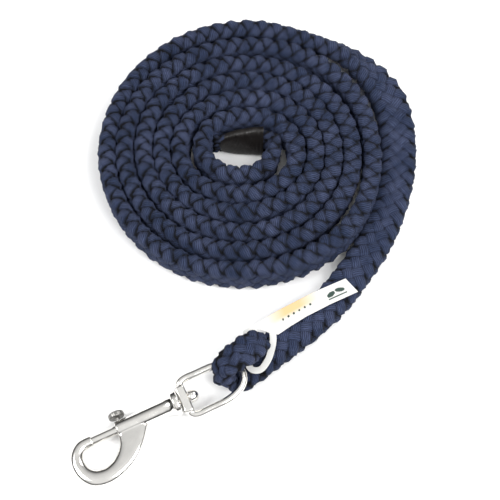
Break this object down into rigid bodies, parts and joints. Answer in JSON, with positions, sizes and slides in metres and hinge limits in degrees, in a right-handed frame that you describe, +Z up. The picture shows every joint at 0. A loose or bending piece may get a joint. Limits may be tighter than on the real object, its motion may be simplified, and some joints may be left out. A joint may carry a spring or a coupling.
{
  "type": "lead rope",
  "caption": "Flat braided lead rope laid up in a flat coil, with a sleeved end and a swivel bolt snap spliced into its eye; a plain tag hangs on the eye.",
  "frame": {"origin": "on the surface that everything lies on, under the middle of the snap", "axes": "+X along the snap from its hook to its swivel eye, +Y to the thumb stud's side, where the coil lies, +Z up"},
  "size_m": [0.2869, 0.2537, 0.0259],
  "materials": {
    "rope": "matte",
    "sleeve": "satin",
    "nickel": "polished",
    "spring_steel": "satin",
    "card": "satin"
  },
  "bodies": {
    "rope": {"rope_coil": "rope", "rope_tail": "rope", "rope_eye": "rope", "rope_end": "rope", "end_sleeve": "sleeve", "tag_band": "card"},
    "eye": {"swivel_eye": "nickel"},
    "hook": {"hook_body": "nickel", "swivel_post": "nickel", "bolt_spring": "spring_steel"},
    "bolt": {"bolt": "nickel", "thumb_stud": "nickel"},
    "tag": {"tag_strip": "card"}
  },
  "joints": [
    {"name": "eye_rock", "type": "hinge", "parent": "rope", "child": "eye", "pos_m": [0.05287, 0.0074, 0.01332], "axis": [0, 1, 0], "range_deg": [0, 75]},
    {"name": "swivel", "type": "hinge", "parent": "eye", "child": "hook", "pos_m": [0.0195, 0.0074, 0.01037], "axis": [0.9961, 0, 0.088], "continuous": true},
    {"name": "bolt_slide", "type": "slide", "parent": "hook", "child": "bolt", "axis": [0.9961, 0, 0.088], "range_m": [0, 0.0155], "stiffness_N_per_m": 300, "springref_m": -0.006, "deforming": ["bolt_spring"]},
    {"name": "tag_lift", "type": "hinge", "parent": "rope", "child": "tag", "pos_m": [0.07425, 0.0246, 0.0128], "axis": [0.9317, -0.3631, 0], "range_deg": [0, 60]}
  ]
}
